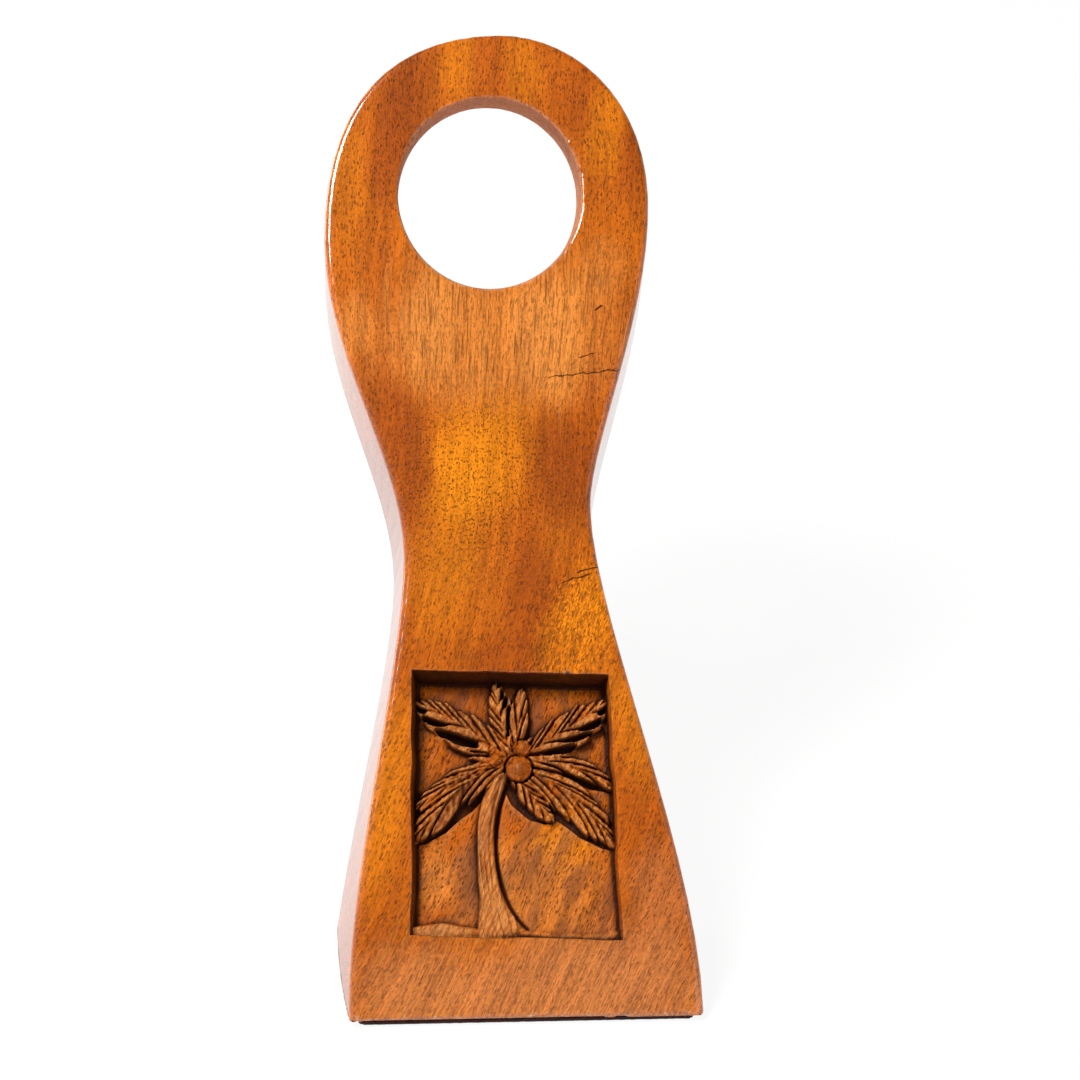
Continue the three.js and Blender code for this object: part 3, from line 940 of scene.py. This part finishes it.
# Cracks on the face: from, to, width
CRACKS = [
    ((6.3, 174.8), (32.5, 177.2), 0.22),
    ((22.5, 193.6), (25.6, 195.6), 0.3),
    ((17.7, 180.4), (23.8, 181.8), 0.22),
    ((14.6, 119.7), (25.8, 123.2), 0.28),
    ((10.5, 117.0), (21.5, 120.5), 0.2),
]
CRACK_WANDER = 2.0
CRACK_TAPER = 0.25
CRACK_EDGE = 0.7
CRACK_DEPTHS = (-2.0, -0.5)
CRACK_SHARE = 0.85

# Panel: how far the mottle, the rubbing with its painted highlight, and the bark show
MOTTLE_SHARE = 0.6
RUB_AND_HIGHLIGHT_SHARE = 0.9
BARK_SHARE = 0.7

# Bore for the neck: middle and reach of its oval rim on the face, its slant, and the depths at which its pale
# tint, partly dust and partly painted light, and its dull rim set in
BORE_MIDDLE = (-4.8, 228.3)
BORE_REACH = (25.0, 27.7)
BORE_TILT = math.radians(17.0)
BORE_EDGE = (1.08, 1.03)
DUST_AND_LIGHT_DEPTHS = (0.1, -0.4)
RIM_DEPTHS = (0.5, 0.0)
DUST_AND_LIGHT_SHARE = 0.45
SCUFF_SHARE = 0.4

# Relief and gloss of the wood
STREAK_RELIEF = 0.25
FIBRE_RELIEF = 0.2
PORE_RELIEF = 0.8
CRACK_RELIEF = 1.5
RELIEF_DISTANCE = 0.00025
WOOD_ROUGHNESS = 0.32
SUNK_ROUGHNESS = 0.1
PORE_ROUGHNESS = 0.2
FIBRE_ROUGHNESS = 0.12
RIM_ROUGHNESS = 0.5
WOOD_SPECULAR = 0.1
COAT_ROUGHNESS = 0.12
COAT_IOR = 1.65
BACK_COAT_LOSS = 0.7
BACK_EDGE = (1.0 - THICKNESS, 0.3 - THICKNESS)


def plank_place(finish):
    """The place on the plank in its own frame, in millimetres."""
    matrix = plank_to_world()
    inputs = {
        "Vector": finish.object_place(),
        "Location": matrix.to_translation(),
        "Rotation": matrix.to_euler(),
        "Scale": (MM, MM, MM),
    }
    return finish.add("ShaderNodeMapping", inputs, vector_type="TEXTURE")


def crack_mask(x, y, start, end, width):
    """A thin dark line with pointed ends."""
    start, end = Vector(start), Vector(end)
    step = end - start
    right = x - start.x
    above = y - start.y
    share = (right * step.x + above * step.y) * (1 / step.length_squared)
    aside = (right * step.y - above * step.x).math("ABSOLUTE") * (1 / step.length)
    within = share.ramp(0.0, CRACK_TAPER) * share.ramp(1.0, 1.0 - CRACK_TAPER)
    return (within * width - aside).ramp(0.0, width * CRACK_EDGE)


class LacqueredWood(Finish):
    """The plank's finish, from the broad figure of the wood to the gloss of its lacquer."""

    def __init__(self):
        super().__init__("lacquered_wood")
        self.place = plank_place(self)
        self.x, self.y, self.z = self.parts(self.place)
        self.painted_shade_and_stain = self.attribute("painted_shade_and_stain")
        self.crest = self.attribute("crest")
        self.sunk = self.attribute("sunk")
        self.find_grain()
        self.lay_figure()
        self.lay_tone()
        self.lay_pores()
        self.wear_edges()
        self.lay_cracks()
        self.colour_panel()
        self.dull_bore()
        self.lacquer()

    def tint(self, share, colour):
        """Lays a colour over the wood, as strongly as the share says."""
        self.colour = self.mix(share, self.colour, colour)

    def area(self, middle, reach, turn):
        """A soft oval patch, with its edge drawn out along the grain."""
        angle = math.radians(turn)
        right = self.patch_x - middle[0]
        above = self.patch_y - middle[1]
        across = (right * math.cos(angle) + above * math.sin(angle)) * (1 / reach[0])
        along = (above * math.cos(angle) - right * math.sin(angle)) * (1 / reach[1])
        return (across * across + along * along).ramp(PATCH_EDGE, 0.0)

    def find_grain(self):
        """Places that follow the grain, places that waver for the patches, and areas of dots and lines."""
        wander = self.waver(self.place, **GRAIN_NOISE)
        turned = self.y.math("SMOOTH_MIN", GRAIN_TURN_HEIGHT, GRAIN_TURN_REACH)
        lean = self.y * HEAD_GRAIN_LEAN + turned * (FOOT_GRAIN_LEAN - HEAD_GRAIN_LEAN)
        self.grain = self.joined(self.x - lean + wander * GRAIN_WANDER, self.y, self.z)
        fray = self.waver(self.grain, **FRAY)
        self.patch_x = self.x + self.waver(self.place, **SHIFT_ACROSS) * PATCH_WANDER
        self.patch_y = self.y + self.waver(self.place, **SHIFT_ALONG) * PATCH_WANDER + fray * PATCH_FRAY
        self.dot_area = self.area(*DOT_AREA)
        foot_lines = self.area(*FOOT_LINE_AREA) * FOOT_LINE_SHARE
        self.line_area = self.area(*UPPER_LINE_AREA).math("MAXIMUM", foot_lines)
        self.sides = self.z.ramp(*SIDE_DEPTHS) * self.sunk.complement()

    def lay_figure(self):
        """Soft patches over a slowly changing ground."""
        self.colour = self.mix(self.noise(self.grain, **GROUND_NOISE), RED_BROWN, ORANGE)
        # The pale patches high on the face and the paler ones at the foot paint a broad sheen
        for middle, reach, turn, colour, strength in PATCHES:
            self.tint(self.area(middle, reach, turn) * strength, colour)

    def lay_tone(self):
        """Sweeps, streaks and fibres along the grain, specks, a curly ripple, and pale lines."""
        sweeps = self.noise(self.grain, **SWEEPS)
        self.streaks = self.noise(self.grain, **STREAKS)
        self.fibres = self.noise(self.grain, **FIBRES)
        specks = self.noise(self.grain, **SPECKS)
        tone = sweeps * SWEEP_TONE + self.streaks * STREAK_TONE + self.fibres * FIBRE_TONE
        tone = tone + specks * SPECK_TONE - TONE_DROP
        ripple = self.waver(self.grain, **RIPPLE) * self.area(*RIPPLE_AREA)
        tone = tone * (ripple * RIPPLE_TONE + 1.0)
        self.colour = self.mix(1.0, self.colour, self.joined(tone, tone, tone), blend="MULTIPLY")
        pale_lines = self.noise(self.grain, **PALE_LINES) * self.line_area
        self.tint(pale_lines * PALE_LINE_SHARE, PALE_AND_SHEEN)

    def lay_pores(self):
        """A dense ground of faint marks, and the larger open pores scattered over it."""
        faint_dots = self.noise(self.grain, **FAINT_DOTS)
        faint_dashes = self.noise(self.grain, **FAINT_DASHES)
        faint_lines = self.noise(self.grain, **FAINT_LINES) * self.line_area
        faint = faint_dashes + (faint_dots - faint_dashes) * self.dot_area
        faint = faint.math("MAXIMUM", faint_lines)

        plain = self.dot_area.math("MAXIMUM", self.line_area).complement(DASH_LOSS)
        dashes = self.dashes(self.grain, **DASHES) * self.sides.complement(SIDE_DASH_LOSS) * plain
        dots = self.dashes(self.grain, **DOTS) * (self.dot_area * (1 - STRAY_DOTS) + STRAY_DOTS)
        lines = self.dashes(self.grain, **LINES) * self.line_area
        long_pores = self.dashes(self.grain, **LONG_PORES) * self.sides
        self.pores = (dashes + dots + lines + long_pores).math("MINIMUM", 1.0)
        self.marks = self.pores.math("MAXIMUM", faint * FAINT_SHARE)
        strength = self.sunk * SUNK_PORE_SHARE + self.dot_area * DOT_PORE_SHARE + PORE_SHARE
        self.tint(self.marks * strength, PORE)

    def wear_edges(self):
        """Darker sides and back, and a toe worn pale in places."""
        self.tint(self.sides * SIDE_SHADE, DARK)
        worn = self.noise(self.place, **WEAR) * self.y.ramp(*WORN_TOE)
        self.tint(worn * WEAR_SHARE, WORN)

    def lay_cracks(self):
        warped = self.y + self.waver(self.place, **CRACK_WARP) * CRACK_WANDER
        cracks, *others = (crack_mask(self.x, warped, *crack) for crack in CRACKS)
        for line in others:
            cracks = cracks.math("MAXIMUM", line)
        self.cracks = cracks * self.z.ramp(*CRACK_DEPTHS)
        self.tint(self.cracks * CRACK_SHARE, STAIN_AND_SHADE)

    def colour_panel(self):
        """The panel is mottled, darkened with stain and painted shade in its hollows, cuts and walls, and
        rubbed lighter with painted highlight on its crests.
        """
        self.tint(self.sunk * self.noise(self.grain, **MOTTLE) * MOTTLE_SHARE, DULL)
        # Stain and painted shade in the panel's hollows, cuts, steep slopes and walls
        self.tint(self.painted_shade_and_stain, STAIN_AND_SHADE)
        # Crests rubbed lighter, which also paints highlights on them
        self.tint(self.crest * self.noise(self.grain, **RUBBING) * RUB_AND_HIGHLIGHT_SHARE, RUBBED_AND_HIGHLIT)
        self.tint(self.crest * self.noise(self.grain, **BARK) * BARK_SHARE, DARK)

    def dull_bore(self):
        """Dust and scuffs in the bore, whose paler walls are partly painted light, and the rim that carries
        no lacquer.
        """
        right = (self.x - BORE_MIDDLE[0]) * (1 / BORE_REACH[0])
        above = (self.y + self.z * math.tan(BORE_TILT) - BORE_MIDDLE[1]) * (1 / BORE_REACH[1])
        hole = (right * right + above * above).ramp(*BORE_EDGE)
        self.rim = hole * self.z.ramp(*RIM_DEPTHS)
        scuffs = self.noise(self.place, **SCUFFS)
        dust_and_light = scuffs * SCUFF_SHARE + DUST_AND_LIGHT_SHARE
        self.tint(hole * self.z.ramp(*DUST_AND_LIGHT_DEPTHS) * dust_and_light, BORE_DUST_AND_LIGHT)

    def lacquer(self):
        """Gloss on the face and sides, less on the back, and none in the panel and the bore."""
        relief = self.streaks * STREAK_RELIEF + self.fibres * FIBRE_RELIEF
        relief = relief - self.marks * PORE_RELIEF - self.cracks * CRACK_RELIEF
        roughness = self.sunk * SUNK_ROUGHNESS + self.pores * PORE_ROUGHNESS + self.fibres * FIBRE_ROUGHNESS
        roughness = roughness + self.rim * RIM_ROUGHNESS + WOOD_ROUGHNESS
        back = self.z.ramp(*BACK_EDGE)
        self.set(
            Base_Color=self.colour,
            Roughness=roughness,
            Normal=self.bump(relief, RELIEF_DISTANCE),
            Specular_IOR_Level=WOOD_SPECULAR,
            Coat_Weight=self.sunk.complement() * self.rim.complement() * back.complement(BACK_COAT_LOSS),
            Coat_Roughness=COAT_ROUGHNESS,
            Coat_IOR=COAT_IOR,
        )


# Felt, with sizes in metres. Its dark colour also paints the line of shade under the toe
FELT_DARK = linear(36, 16, 14)
FELT_LIGHT = linear(70, 34, 30)
FELT_CLUMP = linear(52, 24, 20)
FELT_FIBRES = dict(size=(0.0006, 0.0006, 0.0006), detail=4.0)
FELT_FIBRE_LEVELS = (0.3, 0.7)
FELT_CLUMPS = dict(size=(0.004, 0.004, 0.004), seed=4.0, levels=(0.4, 0.7))
FELT_CLUMP_SHARE = 0.4
FELT_ROUGHNESS = 0.88
FELT_FIBRE_ROUGHNESS = 0.1
FELT_RELIEF = 0.0003
FELT_SHEEN = 0.3
FELT_SPECULAR = 0.15


def dark_felt():
    finish = Finish("dark_felt")
    place = finish.object_place()
    fibres = finish.noise(place, **FELT_FIBRES)
    clumps = finish.noise(place, **FELT_CLUMPS)
    colour = finish.mix(fibres.ramp(*FELT_FIBRE_LEVELS), FELT_DARK, FELT_LIGHT)
    colour = finish.mix(clumps * FELT_CLUMP_SHARE, colour, FELT_CLUMP)
    finish.set(
        Base_Color=colour,
        Roughness=fibres * FELT_FIBRE_ROUGHNESS + FELT_ROUGHNESS,
        Normal=finish.bump(fibres, FELT_RELIEF),
        Sheen_Weight=FELT_SHEEN,
        Specular_IOR_Level=FELT_SPECULAR,
    )
    return finish


def add_piece(name, mesh, finish, node):
    piece = bpy.data.objects.new(name, mesh)
    bpy.context.scene.collection.objects.link(piece)
    mesh.materials.clear()
    mesh.materials.append(finish.material)
    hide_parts(node)
    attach(piece, "root")
    return piece


# Studio
FLOOR_SIZE = 30.0
FLOOR_COLOUR = (0.86, 0.855, 0.845, 1.0)
FLOOR_SHADOW = 0.12
FLOOR_GLOW = 0.91
LAMPS = {
    "key_light": dict(place=(-0.75, -0.2, 1.6), size=0.5, power=28.0),
    "fill_light": dict(place=(1.0, -1.0, 1.0), size=1.2, power=4.0),
    "side_light": dict(place=(-0.9, 0.9, 0.15), size=0.9, power=11.0),
}
STUDIO_MIDDLE = (0.0, 0.08, 0.1)
SKY_COLOUR = (1.0, 1.0, 1.0, 1.0)
HORIZON_LEVEL = 0.6
CEILING_LEVEL = 0.03
CEILING_RISE = (0.25, 0.8)
HORIZON_RIM = 0.36
RIM_HEIGHT = 0.06

# Camera, fitted to the photograph
CAMERA_AZIMUTH = math.radians(2.0)
CAMERA_ELEVATION = math.radians(28.8)
CAMERA_DISTANCE = 1.2
CAMERA_LENS = 149.73
SENSOR_WIDTH = 36.0
CAMERA_TARGET = (0.00662, 0.07, 0.09235)


def floor_material():
    """A floor that lights the part as a plain pale surface, and looks white with the part's shadow on it."""
    finish = Finish("pale_floor")
    plain = finish.add("ShaderNodeBsdfDiffuse", {"Color": FLOOR_COLOUR})
    shadow_colour = tuple(level * FLOOR_SHADOW for level in FLOOR_COLOUR[:3]) + (1.0,)
    shadow = finish.add("ShaderNodeBsdfDiffuse", {"Color": shadow_colour})
    glow = finish.add("ShaderNodeEmission", {"Strength": FLOOR_GLOW})
    seen = finish.add("ShaderNodeAddShader", {0: shadow, 1: glow})
    view = finish.add("ShaderNodeLightPath", {}, output="Is Camera Ray")
    for ray in ("Is Glossy Ray", "Is Transmission Ray"):
        view = view.math("MAXIMUM", finish.add("ShaderNodeLightPath", {}, output=ray))
    choice = finish.add("ShaderNodeMixShader", {0: view, 1: plain, 2: seen})
    plug(choice, finish.tree.nodes["Material Output"].inputs["Surface"])
    finish.tree.nodes.remove(finish.surface)
    return finish.material


def add_floor():
    mesh = bpy.data.meshes.new("floor")
    skin = bmesh.new()
    bmesh.ops.create_grid(skin, x_segments=1, y_segments=1, size=FLOOR_SIZE / 2)
    skin.to_mesh(mesh)
    skin.free()
    mesh.materials.append(floor_material())
    floor = bpy.data.objects.new("floor", mesh)
    bpy.context.scene.collection.objects.link(floor)


def add_lamp(name, place, size, power):
    lamp = bpy.data.lights.new(name, "AREA")
    lamp.size = size
    lamp.energy = power
    holder = bpy.data.objects.new(name, lamp)
    holder.location = place
    aim = Vector(STUDIO_MIDDLE) - Vector(place)
    holder.rotation_euler = aim.to_track_quat("-Z", "Y").to_euler()
    bpy.context.scene.collection.objects.link(holder)


def add_sky():
    """Soft studio surroundings, white at the horizon and dimmer overhead."""
    world = bpy.data.worlds.new("studio")
    world.use_nodes = True
    tree = world.node_tree
    background = tree.nodes["Background"]
    direction = tree.nodes.new("ShaderNodeTexCoord")
    split = tree.nodes.new("ShaderNodeSeparateXYZ")
    tree.links.new(direction.outputs["Generated"], split.inputs[0])
    height = Value(tree, split.outputs["Z"])
    level = height.ramp(*CEILING_RISE, HORIZON_LEVEL, CEILING_LEVEL)
    level = level + height.ramp(0.0, RIM_HEIGHT, HORIZON_RIM, 0.0)
    plug(level, background.inputs["Strength"])
    background.inputs["Color"].default_value = SKY_COLOUR
    bpy.context.scene.world = world


def add_camera():
    lens = bpy.data.cameras.new("camera")
    lens.lens = CAMERA_LENS
    lens.sensor_width = SENSOR_WIDTH
    camera = bpy.data.objects.new("camera", lens)
    level = math.cos(CAMERA_ELEVATION)
    across = math.sin(CAMERA_AZIMUTH) * level
    ahead = math.cos(CAMERA_AZIMUTH) * level
    view = Vector((across, ahead, -math.sin(CAMERA_ELEVATION)))
    camera.location = Vector(CAMERA_TARGET) - CAMERA_DISTANCE * view
    camera.rotation_euler = view.to_track_quat("-Z", "Y").to_euler()
    bpy.context.scene.collection.objects.link(camera)
    bpy.context.scene.camera = camera


add_camera()
add_floor()
add_sky()
for lamp_name, lamp in LAMPS.items():
    add_lamp(lamp_name, **lamp)
add_piece("carved_plank_wood", carved_plank(), LacqueredWood(), "carved_plank")
pad = add_piece("foot_pad_felt", felt_pad(), dark_felt(), "foot_pad")

bpy.context.scene.view_settings.view_transform = "Standard"
